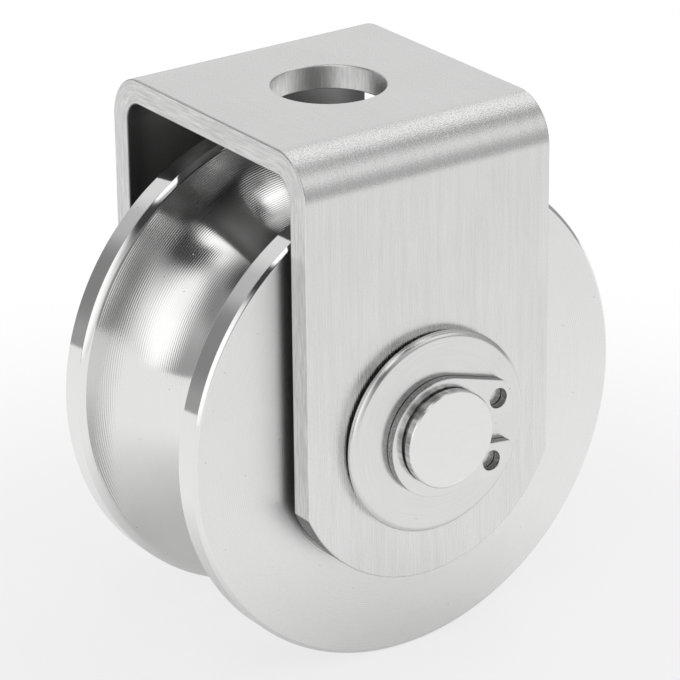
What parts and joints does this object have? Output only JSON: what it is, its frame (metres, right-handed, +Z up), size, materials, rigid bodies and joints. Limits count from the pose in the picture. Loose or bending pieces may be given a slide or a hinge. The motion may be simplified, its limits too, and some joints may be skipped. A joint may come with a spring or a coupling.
{
  "type": "u-groove pulley wheel",
  "caption": "U-groove pulley wheel on ball bearings in a bent steel bracket with a bolt hole on top; rolls on a round rail or guides a rope.",
  "frame": {"origin": "centre of the bolt hole on the bracket's top face", "axes": "+Z up, out of the top face; +Y along the pin from the front leg, where the gap beside the wheel is narrow, to the rear leg; +X the way the wheel rolls"},
  "size_m": [0.075, 0.0602, 0.0833],
  "materials": {
    "bent_plate": "stainless plate, satin, brushed up and down the legs",
    "turned_wheel": "stainless bar, fine turned and polished",
    "turned_pin": "stainless bar, faced end with fine turning rings",
    "washer_steel": "stainless washer, satin face, bright edge",
    "clip_steel": "stamped stainless spring steel, smooth",
    "spacer_steel": "turned stainless sleeve",
    "spring_steel": "dark oiled spring steel",
    "bearing_steel": "ground and polished bearing steel",
    "shield_steel": "pressed sheet steel, satin",
    "cage_nylon": "moulded nylon",
    "bearing_balls": "mirror polished balls"
  },
  "bodies": {
    "bracket": {"bracket": "bent_plate", "pin": "turned_pin", "centre_spacer": "spacer_steel", "front_spacer": "spacer_steel", "rear_spacer": "spacer_steel", "front_washer": "washer_steel", "rear_washer": "washer_steel", "front_clip": "clip_steel", "rear_clip": "clip_steel", "front_inner_ring": "bearing_steel", "rear_inner_ring": "bearing_steel"},
    "wheel": {"wheel": "turned_wheel", "front_outer_ring": "bearing_steel", "rear_outer_ring": "bearing_steel", "front_outer_shield": "shield_steel", "rear_outer_shield": "shield_steel", "front_inner_shield": "shield_steel", "rear_inner_shield": "shield_steel", "front_retaining_ring": "spring_steel", "rear_retaining_ring": "spring_steel"},
    "front_balls": {"front_cage": "cage_nylon", "front_ball_1": "bearing_balls", "front_ball_2": "bearing_balls", "front_ball_3": "bearing_balls", "front_ball_4": "bearing_balls", "front_ball_5": "bearing_balls", "front_ball_6": "bearing_balls", "front_ball_7": "bearing_balls", "front_ball_8": "bearing_balls"},
    "rear_balls": {"rear_cage": "cage_nylon", "rear_ball_1": "bearing_balls", "rear_ball_2": "bearing_balls", "rear_ball_3": "bearing_balls", "rear_ball_4": "bearing_balls", "rear_ball_5": "bearing_balls", "rear_ball_6": "bearing_balls", "rear_ball_7": "bearing_balls", "rear_ball_8": "bearing_balls"}
  },
  "joints": [
    {"name": "wheel_spin", "type": "hinge", "parent": "bracket", "child": "wheel", "pos_m": [0, -0.002, -0.0458], "axis": [0, 1, 0], "continuous": true},
    {"name": "front_balls_orbit", "type": "hinge", "parent": "bracket", "child": "front_balls", "pos_m": [0, -0.002, -0.0458], "axis": [0, 1, 0], "continuous": true},
    {"name": "rear_balls_orbit", "type": "hinge", "parent": "bracket", "child": "rear_balls", "pos_m": [0, -0.002, -0.0458], "axis": [0, 1, 0], "continuous": true}
  ],
  "couplings": [
    {"joint": "front_balls_orbit", "follows": "wheel_spin", "ratio": 0.619},
    {"joint": "rear_balls_orbit", "follows": "wheel_spin", "ratio": 0.619}
  ]
}
